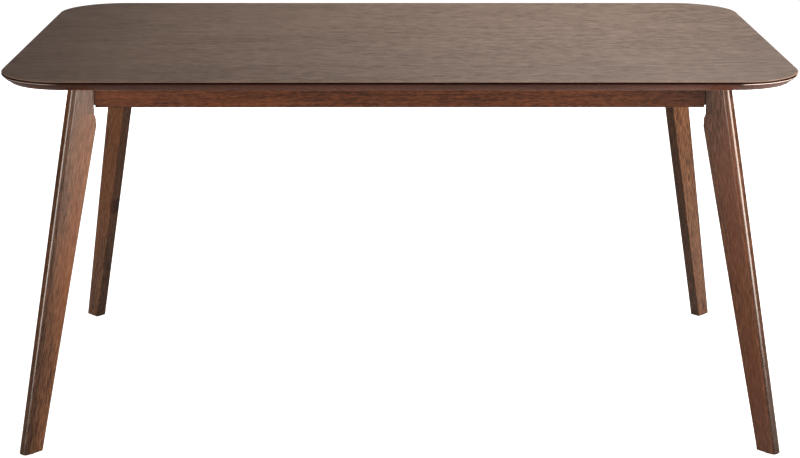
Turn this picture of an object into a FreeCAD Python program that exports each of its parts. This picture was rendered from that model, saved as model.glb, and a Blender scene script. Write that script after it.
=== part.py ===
import FreeCAD, Part
import math
import os
import re

import Sketcher

# Dining table: a thin veneered top with an undercut edge, a mitred apron frame with a corner
# block in each corner, and four splayed board legs bolted to the blocks on the diagonals.
# Millimetres, Z up, X along the table, front at -Y, origin on the floor under the middle.

SIZES = {
    # the top
    "top_length": 1500,
    "top_width": 900,
    "top_height": 740,
    "top_thickness": 19,
    "corner_radius": 130,
    "veneer_thickness": 0.6,
    # the solid lipping round the core board
    "lip_width": 30,
    "arris_radius": 2.4,
    "nose_height": 5.5,
    "nose_ease": 0.8,
    "bevel_depth": 15,
    "bevel_radius": 60,
    # the apron frame
    "apron_inset": 151,
    "apron_setback": 2,
    "apron_thickness": 20,
    "apron_height": 62,
    "apron_ease": 1.5,
    "rail_thickness": 20,
    "rail_height": 45,
    "dowel_radius": 4,
    "dowel_length": 30,
    "dowel_edge": 12,
    # the corner blocks
    "block_height": 57,
    "block_shoulder": 38,
    "block_tip": 1,
    "block_screw_offset": 11.2,
    "block_screw_edge": 12,
    "block_screw_seat": 8,
    # the legs
    "leg_thickness": 24,
    "leg_top_width": 41,
    "leg_round": 9,
    "foot_inset": 16,
    "foot_width": 42,
    "leg_ease": 1.2,
    "seat_height": 73,
    "knee_step": 4,
    "knee_slope": 10,
    "knee_height": 16,
    # a glide and its nail under each foot
    "glide_radius": 10,
    "glide_thickness": 3,
    "glide_recess": 1.5,
    "glide_ease": 0.8,
    "nail_radius": 1,
    "nail_length": 16,
    "nail_head_radius": 2.5,
    "nail_head_thickness": 1,
    "nail_head_depth": 0.4,
    # two bolts to each leg
    "bolt_drop": 15,
    "bolt_spacing": 28,
    "bolt_radius": 4,
    "bolt_length": 80,
    "bolt_head_across": 13,
    "bolt_head_thickness": 5.5,
    "bolt_play": 0.5,
    "washer_play": 0.2,
    "washer_radius": 8,
    "washer_thickness": 1.6,
    "spring_washer_radius": 6.4,
    "spring_washer_thickness": 2,
    "spring_washer_gap": 1.5,
    "insert_radius": 5,
    "insert_length": 20,
    # wood screws: the long ones in the corner blocks, the short ones in the brackets
    "long_screw_radius": 2,
    "long_screw_length": 23,
    "long_screw_head_radius": 4,
    "short_screw_radius": 1.75,
    "short_screw_length": 16,
    "short_screw_head_radius": 3.5,
    "screw_head_height": 2.4,
    "screw_head_rim": 0.8,
    "screw_cross_width": 0.9,
    "screw_cross_depth": 1.4,
    "screw_play": 0.3,
    "screw_head_play": 1,
    "hole_end_gap": 1,
    # the angle brackets between the frame and the top
    "bracket_height": 30,
    "bracket_depth": 20,
    "bracket_width": 25,
    "bracket_thickness": 2,
    "bracket_bend": 1.5,
    "bracket_hole_edge": 8,
    "bracket_spacing": 580,
}

# Places and lengths that follow from the sizes above. Distances inwards from the table's edge
# are insets. A leg meets its corner block in the upright plane through the seat's middle, which
# crosses the diagonal of the corner.
WORKED_OUT = {
    "half_length": "top_length / 2",
    "half_width": "top_width / 2",
    "underside": "top_height - top_thickness",
    "core_top": "top_height - veneer_thickness",
    "core_bottom": "underside + veneer_thickness",
    "round_centre": "top_height - arris_radius",
    "round_cut": "arris_radius - sqrt(arris_radius ^ 2 - (arris_radius - veneer_thickness) ^ 2)",
    "leg_half": "leg_thickness / 2",
    "seat_gap": "leg_half / sqrt(2) - apron_setback",
    "seat_inset": "apron_inset + seat_gap",
    "seat_across": "half_length - seat_inset",
    "seat_back": "half_width - seat_inset",
    "leg_reach": "(seat_inset - foot_inset) * sqrt(2)",
    "foot_bottom": "glide_thickness - glide_recess",
    "frame_length": "top_length - 2 * apron_inset",
    "frame_width": "top_width - 2 * apron_inset",
    "inside_across": "frame_length / 2 - apron_thickness",
    "inside_back": "frame_width / 2 - apron_thickness",
    "mitre_loss": "leg_thickness / sqrt(2)",
    "frame_corner": "(apron_thickness - seat_gap) * sqrt(2)",
    "block_back": "frame_corner + block_shoulder + block_tip",
    "screw_reach": "block_shoulder * sqrt(2) - block_screw_offset",
    "long_screw_grip": "long_screw_length - block_screw_seat",
    "short_screw_grip": "short_screw_length - bracket_thickness",
    "bolt_head_seat": "block_back + washer_thickness + spring_washer_thickness",
    "upper_bolt": "underside - bolt_drop",
    "lower_bolt": "upper_bolt - bolt_spacing",
    "upper_screw": "underside - block_screw_edge",
    "lower_screw": "underside - block_height + block_screw_edge",
    "upper_dowel": "underside - dowel_edge",
    "lower_dowel": "underside - rail_height + dowel_edge",
    "bracket_hole_drop": "bracket_height - bracket_hole_edge",
    "bracket_hole_reach": "bracket_depth - bracket_hole_edge",
}

CORNERS = (
    ("front_left", -1, -1, -135),
    ("front_right", 1, -1, -45),
    ("back_left", -1, 1, 135),
    ("back_right", 1, 1, 45),
)
HALF_TURN = 180
QUARTER_TURN = 90
HALF_QUARTER = 45
CLOSE = 1e-4

doc = FreeCAD.newDocument("DiningTable")
sheet = doc.addObject("Spreadsheet::Sheet", "Sizes")
for row, (name, number) in enumerate(SIZES.items(), start=1):
    sheet.set("A%d" % row, name)
    sheet.set("B%d" % row, str(number))
    sheet.setAlias("B%d" % row, name)
doc.recompute()

nodes = []


def formula(text):
    """Write a formula of size names out in the sheet's cells."""
    def in_cells(match):
        word = match.group()
        if word in SIZES:
            return "Sizes." + word
        if word in WORKED_OUT:
            return "(" + formula(WORKED_OUT[word]) + ")"
        return word
    return re.sub("[a-z_]+", in_cells, text)


def value(text):
    """Work a formula out as a number."""
    return float(sheet.evalExpression(formula(text)))


def place(thing, x="0", y="0", z="0", turn=0, tilt=0):
    """Put an object somewhere, tilted about its own Y axis and then turned about Z."""
    upright = FreeCAD.Rotation(FreeCAD.Vector(0, 0, 1), turn)
    tilted = FreeCAD.Rotation(FreeCAD.Vector(0, 1, 0), tilt)
    thing.Placement = FreeCAD.Placement(FreeCAD.Vector(), upright.multiply(tilted))
    for axis, text in (("x", x), ("y", y), ("z", z)):
        thing.setExpression("Placement.Base." + axis, formula(text))


def at_corner(thing, corner, inset):
    """Put an object on a corner's diagonal, its X axis outwards, an inset from both edges."""
    name, across, back, turn = corner
    place(thing, "%d * (half_length - %s)" % (across, inset), "%d * (half_width - %s)" % (back, inset),
          turn=turn)


def new_body(label):
    body = doc.addObject("PartDesign::Body", label)
    body.Label = label
    return body


def keep(thing):
    """Count an object among the finished pieces."""
    nodes.append(thing)
    return thing


def sketch_on(body, role, offset="0", shift="0", turn=0):
    """Start a sketch on a plane of the body's origin, moved along its normal and its own X axis
    and turned about its own Y axis."""
    plane = next(item for item in body.Origin.OriginFeatures if item.Role == role)
    sketch = body.newObject("Sketcher::SketchObject", body.Label + "_sketch")
    sketch.AttachmentSupport = (plane, [""])
    sketch.MapMode = "FlatFace"
    rotation = FreeCAD.Rotation(FreeCAD.Vector(0, 1, 0), turn)
    sketch.AttachmentOffset = FreeCAD.Placement(FreeCAD.Vector(), rotation)
    sketch.setExpression("AttachmentOffset.Base.x", formula(shift))
    sketch.setExpression("AttachmentOffset.Base.z", formula(offset))
    return sketch


def bind(sketch, kind, target, text, name):
    """Add a dimension to a sketch and tie it to a formula."""
    index = sketch.addConstraint(Sketcher.Constraint(kind, *target, value(text)))
    sketch.renameConstraint(index, name)
    sketch.setExpression("Constraints." + name, formula(text))


def arc_through(start, end, radius):
    """The shorter arc from start to end that turns to the left."""
    chord = end - start
    middle = (start + end) * 0.5
    rise = math.sqrt(radius ** 2 - chord.Length ** 2 / 4)
    centre = middle + FreeCAD.Vector(-chord.y, chord.x, 0).normalize() * rise
    first = math.atan2(start.y - centre.y, start.x - centre.x)
    last = math.atan2(end.y - centre.y, end.x - centre.x)
    if last < first:
        last += 2 * math.pi
    return Part.ArcOfCircle(Part.Circle(centre, FreeCAD.Vector(0, 0, 1), radius), first, last)


def outline(sketch, corners, arcs={}):
    """Draw a closed outline counter-clockwise through the corners. The edge that leaves a corner
    named in arcs bulges outwards with the radius given there."""
    spots = [FreeCAD.Vector(value(x), value(y), 0) for x, y in corners]
    first = sketch.GeometryCount
    for index, start in enumerate(spots):
        end = spots[(index + 1) % len(spots)]
        if index in arcs:
            sketch.addGeometry(arc_through(start, end, value(arcs[index])))
        else:
            sketch.addGeometry(Part.LineSegment(start, end))
    for index, (x, y) in enumerate(corners):
        edge = first + index
        following = first + (index + 1) % len(corners)
        sketch.addConstraint(Sketcher.Constraint("Coincident", edge, 2, following, 1))
        bind(sketch, "DistanceX", (-1, 1, edge, 1), x, "across_%d" % edge)
        bind(sketch, "DistanceY", (-1, 1, edge, 1), y, "up_%d" % edge)
        if index in arcs:
            bind(sketch, "Radius", (edge,), arcs[index], "radius_%d" % edge)


def rectangle(sketch, width, height, radius=None, middle_y="0"):
    """Draw a rectangle about the sketch's Y axis, with rounded corners where a radius is given."""
    low = "%s - (%s) / 2" % (middle_y, height)
    high = "%s + (%s) / 2" % (middle_y, height)
    right = "(%s) / 2" % width
    left = "-(%s) / 2" % width
    if radius is None:
        outline(sketch, ((left, low), (right, low), (right, high), (left, high)))
        return
    corners = (
        (left + " + " + radius, low), (right + " - " + radius, low),
        (right, low + " + " + radius), (right, high + " - " + radius),
        (right + " - " + radius, high), (left + " + " + radius, high),
        (left, high + " - " + radius), (left, low + " + " + radius),
    )
    outline(sketch, corners, {1: radius, 3: radius, 5: radius, 7: radius})


def circles(sketch, centres, radius):
    for x, y in centres:
        index = sketch.GeometryCount
        centre = FreeCAD.Vector(value(x), value(y), 0)
        sketch.addGeometry(Part.Circle(centre, FreeCAD.Vector(0, 0, 1), value(radius)))
        bind(sketch, "DistanceX", (-1, 1, index, 3), x, "across_%d" % index)
        bind(sketch, "DistanceY", (-1, 1, index, 3), y, "up_%d" % index)
        bind(sketch, "Radius", (index,), radius, "radius_%d" % index)


def pad(body, sketch, length, symmetric=False):
    feature = body.newObject("PartDesign::Pad", body.Label + "_pad")
    feature.Profile = sketch
    if symmetric:
        feature.SideType = "Symmetric"
    feature.setExpression("Length", formula(length))
    sketch.Visibility = False
    return feature


def pocket(body, sketch, depth=None, forwards=True):
    """Cut a sketch into the body, along its normal or against it, right through if no depth is
    given, and make sure that something was cut."""
    doc.recompute()
    before = body.Shape.Volume
    feature = body.newObject("PartDesign::Pocket", body.Label + "_pocket")
    feature.Profile = sketch
    feature.Reversed = forwards
    if depth is None:
        feature.Type = "ThroughAll"
    else:
        feature.setExpression("Length", formula(depth))
    doc.recompute()
    if body.Shape.Volume >= before:
        raise RuntimeError(body.Label + ": a pocket cuts nothing")
    return feature


def revolve(body, sketch, angle):
    feature = body.newObject("PartDesign::Revolution", body.Label + "_revolution")
    feature.Profile = sketch
    feature.ReferenceAxis = (sketch, ["V_Axis"])
    feature.Angle = angle
    return feature


def edges_at(body, ends):
    """Name the edges of the body whose two ends are the given pair of places."""
    spots = [FreeCAD.Vector(*(value(text) for text in end)) for end in ends]
    found = []
    for number, edge in enumerate(body.Tip.Shape.Edges, start=1):
        points = [vertex.Point for vertex in edge.Vertexes]
        if len(points) != len(spots):
            continue
        for trial in (points, points[::-1]):
            if all(point.distanceToPoint(spot) < CLOSE for point, spot in zip(trial, spots)):
                found.append("Edge%d" % number)
                break
    return found


def lowest_face(body):
    """Name the body's lowest face."""
    faces = body.Tip.Shape.Faces
    heights = [face.CenterOfMass.z for face in faces]
    return "Face%d" % (heights.index(min(heights)) + 1)


def fillet(body, pairs, radius, foot=False):
    """Round the edges between the pairs of places, and on a foot all round the lowest face."""
    doc.recompute()
    names = [name for ends in pairs for name in edges_at(body, ends)]
    if len(names) != len(pairs):
        raise RuntimeError(body.Label + ": an edge to be rounded is missing")
    if foot:
        names.append(lowest_face(body))
    base = body.Tip
    feature = body.newObject("PartDesign::Fillet", body.Label + "_fillet")
    feature.Base = (base, names)
    feature.setExpression("Radius", formula(radius))
    doc.recompute()
    return feature


def group(label, template, places):
    """Set copies of one small piece in place and count them as one group."""
    copies = []
    for number, spot in enumerate(places, start=1):
        copy = doc.addObject("App::Link", "%s_%d" % (label, number))
        copy.LinkedObject = template
        place(copy, **spot)
        copies.append(copy)
    compound = doc.addObject("Part::Compound", label)
    compound.Label = label
    compound.Links = copies
    return keep(compound)


# The top


def bracket_spots():
    """Where the brackets stand: run along the apron, the apron's inner face, and the turn that
    points a bracket's X axis away from the apron."""
    spots = []
    for side in (-1, 1):
        for end in (-1, 1):
            spots.append(("%d * bracket_spacing / 2" % end, "%d * inside_back" % side, -QUARTER_TURN * side))
        spots.append(("%d * inside_across" % side, "0", QUARTER_TURN + QUARTER_TURN * side))
    return spots


def bracket_screw_centres():
    """Where the brackets' upright screws enter the top."""
    centres = []
    for side in (-1, 1):
        for end in (-1, 1):
            centres.append(("%d * bracket_spacing / 2" % end, "%d * (inside_back - bracket_hole_reach)" % side))
        centres.append(("%d * (inside_across - bracket_hole_reach)" % side, "0"))
    return centres


def core_board():
    body = keep(new_body("core_board"))
    sketch = sketch_on(body, "XY_Plane", "core_bottom")
    rectangle(sketch, "top_length - 2 * lip_width", "top_width - 2 * lip_width", "(corner_radius - lip_width)")
    pad(body, sketch, "core_top - core_bottom")
    holes = sketch_on(body, "XY_Plane", "core_bottom")
    circles(holes, bracket_screw_centres(), "short_screw_radius")
    pocket(body, holes, "short_screw_grip - veneer_thickness + hole_end_gap")


def face_veneer():
    """The veneer runs over the lipping, and the rounding of the edge cuts it to a thin bevel."""
    body = keep(new_body("face_veneer"))
    sections = []
    for height, inset in (("core_top", "round_cut"), ("top_height", "arris_radius")):
        sketch = sketch_on(body, "XY_Plane", height)
        rectangle(sketch, "top_length - 2 * " + inset, "top_width - 2 * " + inset,
                  "(corner_radius - %s)" % inset)
        sections.append(sketch)
    loft = body.newObject("PartDesign::AdditiveLoft", "face_veneer_loft")
    loft.Profile = sections[0]
    loft.Sections = [sections[1]]
    loft.Ruled = True


def backing_veneer():
    body = keep(new_body("backing_veneer"))
    sketch = sketch_on(body, "XY_Plane", "underside")
    rectangle(sketch, "top_length - 2 * bevel_depth", "top_width - 2 * bevel_depth",
              "(corner_radius - bevel_depth)")
    pad(body, sketch, "veneer_thickness")
    holes = sketch_on(body, "XY_Plane", "underside")
    circles(holes, bracket_screw_centres(), "short_screw_radius")
    pocket(body, holes)


def lip_section(body, edge):
    """Draw the lipping's section: a rounded arris, an upright nose, then a bevel that swells a
    little and runs back under the top. The edge is the nose's distance from the axis."""
    sketch = sketch_on(body, "XZ_Plane")
    nose = "top_height - nose_height"
    outline(sketch, (
        (edge + " - lip_width", "core_bottom"),
        (edge + " - bevel_depth", "core_bottom"),
        (edge, nose),
        (edge, "round_centre"),
        (edge + " - round_cut", "core_top"),
        (edge + " - lip_width", "core_top"),
    ), {1: "bevel_radius", 3: "arris_radius"})
    return sketch


def lip_run(label, length, distance, turn):
    body = keep(new_body(label))
    pad(body, lip_section(body, "0"), length, symmetric=True)
    ends = [("0", "%d * (%s) / 2" % (end, length), "top_height - nose_height") for end in (-1, 1)]
    fillet(body, [ends], "nose_ease")
    across = round(math.cos(math.radians(turn)))
    back = round(math.sin(math.radians(turn)))
    place(body, "%d * (%s)" % (across, distance), "%d * (%s)" % (back, distance), "0", turn)


def lip_corner(corner):
    name, across, back, turn = corner
    body = keep(new_body("lip_corner_" + name))
    revolve(body, lip_section(body, "corner_radius"), QUARTER_TURN)
    nose = "top_height - nose_height"
    fillet(body, [[("corner_radius", "0", nose), ("0", "corner_radius", nose)]], "nose_ease")
    at_corner(body, (name, across, back, turn - HALF_QUARTER), "corner_radius")


# The apron frame


def apron(label, turn, frame_across, frame_along, brackets, dowels):
    """One apron, drawn as if on the right: mitred ends, and holes in its inner face."""
    body = keep(new_body(label))
    face = "(%s) / 2" % frame_across
    inner = face + " - apron_thickness"
    half = "((%s) / 2 - mitre_loss)" % frame_along
    plan = sketch_on(body, "XY_Plane", "underside - apron_height")
    outline(plan, (
        (inner, "-(%s - apron_thickness)" % half),
        (face, "-%s" % half),
        (face, half),
        (inner, "%s - apron_thickness" % half),
    ))
    pad(body, plan, "apron_height")
    lower_edge = [(face, "%d * %s" % (end, half), "underside - apron_height") for end in (-1, 1)]
    fillet(body, [lower_edge], "apron_ease")
    screws = sketch_on(body, "YZ_Plane", inner)
    run = "((%s) / 2 - apron_thickness - screw_reach)" % frame_along
    places = [("%d * %s" % (end, run), height) for end in (-1, 1) for height in ("upper_screw", "lower_screw")]
    circles(screws, places, "long_screw_radius")
    pocket(body, screws, "long_screw_grip + hole_end_gap")
    holes = sketch_on(body, "YZ_Plane", inner)
    circles(holes, [(run, "underside - bracket_hole_drop") for run in brackets], "short_screw_radius")
    pocket(body, holes, "short_screw_grip + hole_end_gap")
    if dowels:
        sockets = sketch_on(body, "YZ_Plane", inner)
        circles(sockets, [("0", "upper_dowel"), ("0", "lower_dowel")], "dowel_radius")
        pocket(body, sockets, "dowel_length / 2 + hole_end_gap")
    place(body, turn=turn)


def centre_rail():
    body = keep(new_body("centre_rail"))
    section = sketch_on(body, "XZ_Plane")
    rectangle(section, "rail_thickness", "rail_height", middle_y="(underside - rail_height / 2)")
    pad(body, section, "2 * inside_back", symmetric=True)
    for side in (-1, 1):
        sockets = sketch_on(body, "XZ_Plane", "%d * inside_back" % side)
        circles(sockets, [("0", "upper_dowel"), ("0", "lower_dowel")], "dowel_radius")
        pocket(body, sockets, "dowel_length / 2 + hole_end_gap", forwards=side < 0)


def rail_dowels():
    dowel = doc.addObject("Part::Cylinder", "dowel")
    dowel.setExpression("Radius", formula("dowel_radius"))
    dowel.setExpression("Height", formula("dowel_length"))
    spots = []
    for side in (-1, 1):
        for height in ("upper_dowel", "lower_dowel"):
            spots.append({"y": "%d * inside_back - dowel_length / 2" % side, "z": height,
                          "turn": QUARTER_TURN, "tilt": QUARTER_TURN})
    group("rail_dowels", dowel, spots)


# The corner blocks. In its own frame a block has the middle of the leg's seat at its origin and
# the diagonal outwards along X. Its nose fills the slot between the mitred ends of two aprons and
# meets the leg, and its shoulders lie on the aprons' inner faces.


def corner_block(corner):
    body = keep(new_body("corner_block_" + corner[0]))
    plan = sketch_on(body, "XY_Plane", "underside - block_height")
    outline(plan, (
        ("-block_back", "-block_shoulder"),
        ("-frame_corner - block_shoulder", "-block_shoulder"),
        ("-frame_corner - leg_half", "-leg_half"),
        ("0", "-leg_half"),
        ("0", "leg_half"),
        ("-frame_corner - leg_half", "leg_half"),
        ("-frame_corner - block_shoulder", "block_shoulder"),
        ("-block_back", "block_shoulder"),
    ))
    pad(body, plan, "block_height")
    bolts = sketch_on(body, "YZ_Plane", "-block_back")
    circles(bolts, [("0", "upper_bolt"), ("0", "lower_bolt")], "bolt_radius + bolt_play")
    pocket(body, bolts)
    cuts = []
    for radius, forwards in (("long_screw_head_radius + screw_head_play", False),
                             ("long_screw_radius + screw_play", True)):
        screws = sketch_on(body, "YZ_Plane", "-frame_corner - (screw_reach + block_screw_seat) / sqrt(2)",
                           "(screw_reach - block_screw_seat) / sqrt(2)", HALF_QUARTER)
        circles(screws, [("0", "upper_screw"), ("0", "lower_screw")], radius)
        cuts.append(pocket(body, screws, forwards=forwards))
    mirrored = body.newObject("PartDesign::Mirrored", body.Label + "_mirrored")
    mirrored.Originals = cuts
    plane = next(item for item in body.Origin.OriginFeatures if item.Role == "XZ_Plane")
    mirrored.MirrorPlane = (plane, [""])
    body.Tip = mirrored
    at_corner(body, corner, "seat_inset")


def screw(label, radius, length, head_radius):
    """A pan-head wood screw along X: shank forwards, head backwards, a cross in the head."""
    body = new_body(label)
    section = sketch_on(body, "XZ_Plane")
    outline(section, (
        ("0", "-screw_head_height"),
        ("%s / 2" % head_radius, "-screw_head_height"),
        (head_radius, "-screw_head_rim"),
        (head_radius, "0"),
        (radius, "0"),
        (radius, "%s - %s" % (length, radius)),
        ("0", length),
    ), {1: head_radius})
    revolve(body, section, 2 * HALF_TURN)
    cross = sketch_on(body, "XY_Plane", "-screw_head_height")
    arm = "%s / 2" % head_radius
    half = "screw_cross_width / 2"
    outline(cross, (
        (arm, "-" + half), (arm, half), (half, half), (half, arm), ("-" + half, arm), ("-" + half, half),
        ("-" + arm, half), ("-" + arm, "-" + half), ("-" + half, "-" + half), ("-" + half, "-" + arm),
        (half, "-" + arm), (half, "-" + half),
    ))
    pocket(body, cross, "screw_cross_depth")
    return body


def block_screws():
    spots = []
    for name, across, back, turn in CORNERS:
        for height in ("upper_screw", "lower_screw"):
            spots.append({"x": "%d * (inside_across - screw_reach)" % across,
                          "y": "%d * (inside_back - block_screw_seat)" % back,
                          "z": height, "turn": QUARTER_TURN * back, "tilt": QUARTER_TURN})
            spots.append({"x": "%d * (inside_across - block_screw_seat)" % across,
                          "y": "%d * (inside_back - screw_reach)" % back,
                          "z": height, "turn": QUARTER_TURN - QUARTER_TURN * across, "tilt": QUARTER_TURN})
    long_screw = screw("long_screw", "long_screw_radius", "long_screw_length", "long_screw_head_radius")
    group("block_screws", long_screw, spots)


# The legs. In its own frame a leg has its foot's outermost point over the origin and the diagonal
# outwards along X: a board that leans inwards as it rises, wide at the knee and tapered below it.


def leg(corner):
    body = keep(new_body("leg_" + corner[0]))
    profile = sketch_on(body, "XZ_Plane")
    places = (
        ("-foot_width", "foot_bottom"),
        ("0", "foot_bottom"),
        ("-leg_reach + leg_top_width", "underside"),
        ("-leg_reach", "underside"),
        ("-leg_reach", "underside - seat_height"),
        ("-leg_reach - knee_step", "underside - seat_height - knee_slope"),
        ("-leg_reach - knee_step", "underside - seat_height - knee_slope - knee_height"),
    )
    outline(profile, places)
    pad(body, profile, "leg_thickness", symmetric=True)
    outer = []
    inner = []
    for side in (-1, 1):
        on_side = [(x, "%d * leg_half" % side, z) for x, z in places]
        outer.append((on_side[1], on_side[2]))
        inner.extend([(on_side[4], on_side[5]), (on_side[5], on_side[6]), (on_side[6], on_side[0])])
    fillet(body, outer, "leg_round")
    fillet(body, inner, "leg_ease", foot=True)
    inserts = sketch_on(body, "YZ_Plane", "-leg_reach")
    circles(inserts, [("0", "upper_bolt"), ("0", "lower_bolt")], "insert_radius")
    pocket(body, inserts, "insert_length + hole_end_gap")
    recess = sketch_on(body, "XY_Plane", "foot_bottom")
    circles(recess, [("-foot_width / 2", "0")], "glide_radius")
    pocket(body, recess, "glide_recess")
    hole = sketch_on(body, "XY_Plane", "foot_bottom")
    circles(hole, [("-foot_width / 2", "0")], "nail_radius")
    pocket(body, hole, "nail_length - foot_bottom + hole_end_gap")
    at_corner(body, corner, "foot_inset")


def foot_glide(corner):
    body = keep(new_body("foot_glide_" + corner[0]))
    section = sketch_on(body, "XZ_Plane")
    outline(section, (
        ("nail_head_radius", "0"),
        ("glide_radius - glide_ease", "0"),
        ("glide_radius", "glide_ease"),
        ("glide_radius", "glide_thickness"),
        ("nail_radius", "glide_thickness"),
        ("nail_radius", "nail_head_depth + nail_head_thickness"),
        ("nail_head_radius", "nail_head_depth + nail_head_thickness"),
    ))
    revolve(body, section, 2 * HALF_TURN)
    at_corner(body, corner, "(foot_inset + foot_width / 2 / sqrt(2))")


def glide_nails():
    nail = new_body("nail")
    section = sketch_on(nail, "XZ_Plane")
    outline(section, (
        ("0", "nail_head_depth"),
        ("nail_head_radius", "nail_head_depth"),
        ("nail_head_radius", "nail_head_depth + nail_head_thickness"),
        ("nail_radius", "nail_head_depth + nail_head_thickness"),
        ("nail_radius", "nail_length - 2 * nail_radius"),
        ("0", "nail_length"),
    ))
    revolve(nail, section, 2 * HALF_TURN)
    inset = "(foot_inset + foot_width / 2 / sqrt(2))"
    spots = []
    for name, across, back, turn in CORNERS:
        spots.append({"x": "%d * (half_length - %s)" % (across, inset),
                      "y": "%d * (half_width - %s)" % (back, inset), "turn": turn})
    group("glide_nails", nail, spots)


# The bolts that hold the legs, each in the frame of its corner block


def leg_hardware(label, template):
    """Set one of a small piece on each of the two bolt lines of every leg."""
    spots = []
    for name, across, back, turn in CORNERS:
        for height in ("upper_bolt", "lower_bolt"):
            spots.append({"x": "%d * seat_across" % across, "y": "%d * seat_back" % back,
                          "z": height, "turn": turn})
    group(label, template, spots)


def leg_bolt():
    """A hexagon bolt: its head is a prism that stands off the spring washer."""
    body = new_body("bolt")
    circle = sketch_on(body, "YZ_Plane", "-bolt_head_seat")
    circles(circle, [("0", "0")], "bolt_radius")
    pad(body, circle, "bolt_length")
    hexagon = sketch_on(body, "YZ_Plane", "-bolt_head_seat - bolt_head_thickness")
    flat = "bolt_head_across / 2"
    tip = "bolt_head_across / sqrt(3)"
    outline(hexagon, (
        ("-" + flat, "-%s / 2" % tip), ("0", "-" + tip), (flat, "-%s / 2" % tip),
        (flat, "%s / 2" % tip), ("0", tip), ("-" + flat, "%s / 2" % tip),
    ))
    pad(body, hexagon, "bolt_head_thickness")
    return body


def ring(label, start, thickness, outer, inner, gap=None):
    """A washer or sleeve on a bolt line, cut open where a gap is given."""
    body = new_body(label)
    section = sketch_on(body, "YZ_Plane", start)
    circles(section, [("0", "0")], outer)
    circles(section, [("0", "0")], inner)
    pad(body, section, thickness)
    if gap:
        slot = sketch_on(body, "YZ_Plane", start)
        outline(slot, (("-%s / 2" % gap, "0"), ("%s / 2" % gap, "0"),
                       ("%s / 2" % gap, "2 * (%s)" % outer), ("-%s / 2" % gap, "2 * (%s)" % outer)))
        pocket(body, slot)
    return body


# The brackets. In its own frame a bracket stands against the apron's inner face at X = 0 and
# lies against the underside of the top at Z = 0.


def bracket():
    body = new_body("bracket")
    profile = sketch_on(body, "XZ_Plane")
    outline(profile, (
        ("0", "0"),
        ("0", "-bracket_height"),
        ("bracket_thickness", "-bracket_height"),
        ("bracket_thickness", "-bracket_thickness"),
        ("bracket_depth", "-bracket_thickness"),
        ("bracket_depth", "0"),
    ))
    pad(body, profile, "bracket_width", symmetric=True)
    bend = [("bracket_thickness", "%d * bracket_width / 2" % end, "-bracket_thickness") for end in (-1, 1)]
    fillet(body, [bend], "bracket_bend")
    upright = sketch_on(body, "YZ_Plane")
    circles(upright, [("0", "-bracket_hole_drop")], "short_screw_radius + screw_play")
    pocket(body, upright)
    flat = sketch_on(body, "XY_Plane")
    circles(flat, [("bracket_hole_reach", "0")], "short_screw_radius + screw_play")
    pocket(body, flat, forwards=False)
    return body


def top_brackets():
    spots = bracket_spots()
    group("top_brackets", bracket(), [{"x": x, "y": y, "z": "underside", "turn": turn} for x, y, turn in spots])
    short_screw = screw("short_screw", "short_screw_radius", "short_screw_length", "short_screw_head_radius")
    level = []
    for x, y, turn in spots:
        away = round(math.cos(math.radians(turn)))
        inwards = round(math.sin(math.radians(turn)))
        level.append({"x": "%s + %d * bracket_thickness" % (x, away),
                      "y": "%s + %d * bracket_thickness" % (y, inwards),
                      "z": "underside - bracket_hole_drop", "turn": turn, "tilt": -QUARTER_TURN})
    group("bracket_apron_screws", short_screw, level)
    upright = [{"x": x, "y": y, "z": "underside - bracket_thickness"} for x, y in bracket_screw_centres()]
    group("bracket_top_screws", short_screw, upright)


core_board()
face_veneer()
backing_veneer()
lip_run("lip_front", "top_length - 2 * corner_radius", "half_width", -QUARTER_TURN)
lip_run("lip_back", "top_length - 2 * corner_radius", "half_width", QUARTER_TURN)
lip_run("lip_left", "top_width - 2 * corner_radius", "half_length", HALF_TURN)
lip_run("lip_right", "top_width - 2 * corner_radius", "half_length", 0)
for corner in CORNERS:
    lip_corner(corner)

long_brackets = ("-bracket_spacing / 2", "bracket_spacing / 2")
apron("apron_front", -QUARTER_TURN, "frame_width", "frame_length", long_brackets, True)
apron("apron_back", QUARTER_TURN, "frame_width", "frame_length", long_brackets, True)
apron("apron_left", HALF_TURN, "frame_length", "frame_width", ("0",), False)
apron("apron_right", 0, "frame_length", "frame_width", ("0",), False)
centre_rail()
rail_dowels()

for corner in CORNERS:
    corner_block(corner)
    leg(corner)
    foot_glide(corner)
glide_nails()
block_screws()

leg_hardware("leg_bolts", leg_bolt())
leg_hardware("leg_washers", ring("washer", "-block_back - washer_thickness", "washer_thickness",
                                 "washer_radius", "bolt_radius + washer_play"))
leg_hardware("leg_spring_washers", ring("spring_washer", "-bolt_head_seat", "spring_washer_thickness",
                                        "spring_washer_radius", "bolt_radius + washer_play",
                                        "spring_washer_gap"))
leg_hardware("leg_inserts", ring("insert", "0", "insert_length", "insert_radius", "bolt_radius"))
top_brackets()

doc.recompute()
for thing in doc.Objects:
    if "Invalid" in thing.State or "Error" in thing.State:
        raise RuntimeError(thing.Label + " failed")
for node in nodes:
    if node.Shape.isNull() or not node.Shape.isValid():
        raise RuntimeError(node.Label + " has no sound shape")

os.makedirs("parts", exist_ok=True)
for node in nodes:
    node.Shape.exportStep("parts/%s.step" % node.Label)
print(len(nodes), "pieces written")
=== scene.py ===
# %% [markdown]
# # A walnut dining table with splayed legs
# The table is a thin top with an undercut edge, an apron frame under it, and four board legs set
# on the diagonals of the corners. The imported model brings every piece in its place. This lesson
# gives the pieces that the eye rests on finer surfaces, gives everything a finish, and sets up
# the light and the camera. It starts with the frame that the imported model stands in.

# %% Load the frame
import math

import bmesh
import bpy
import numpy as np
from mathutils import Matrix, Vector


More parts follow.
